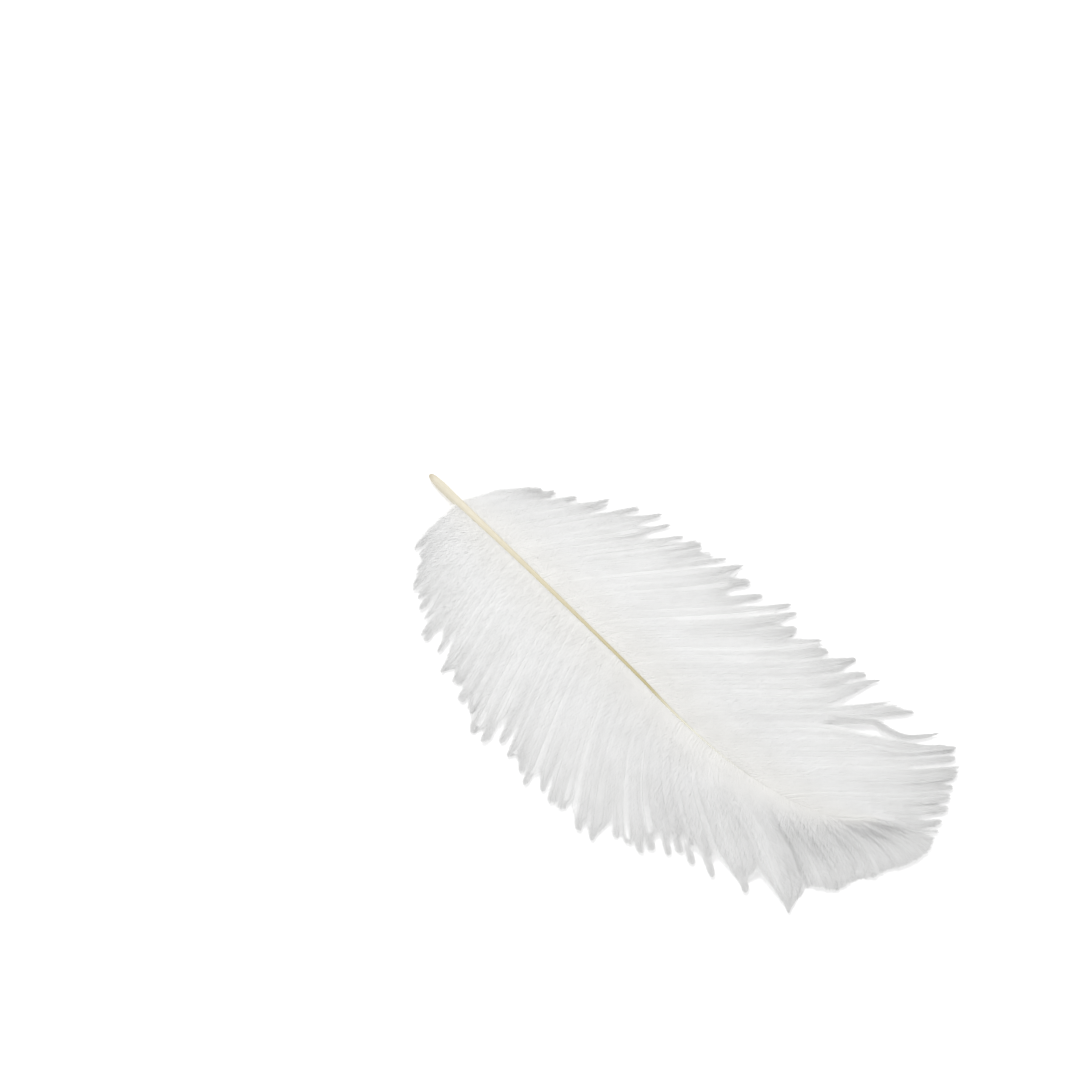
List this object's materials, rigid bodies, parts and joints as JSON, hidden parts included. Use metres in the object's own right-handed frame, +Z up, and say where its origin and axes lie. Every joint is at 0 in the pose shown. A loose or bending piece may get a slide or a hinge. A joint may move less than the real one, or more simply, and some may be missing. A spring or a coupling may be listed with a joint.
{
  "type": "ostrich feather",
  "caption": "White ostrich plume with a bare quill, a low arched shaft and two soft vanes of loose barbs in locks, lying on a surface.",
  "frame": {"origin": "bottom centre of the plume's box, on the surface it lies on", "axes": "+X along the plume from the quill to the tip, +Z up, away from the surface"},
  "size_m": [0.2972, 0.1429, 0.0174],
  "materials": {
    "feather": "soft matte white barbs on an ivory shaft"
  },
  "bodies": {
    "root": {"feather": "feather"}
  },
  "joints": []
}
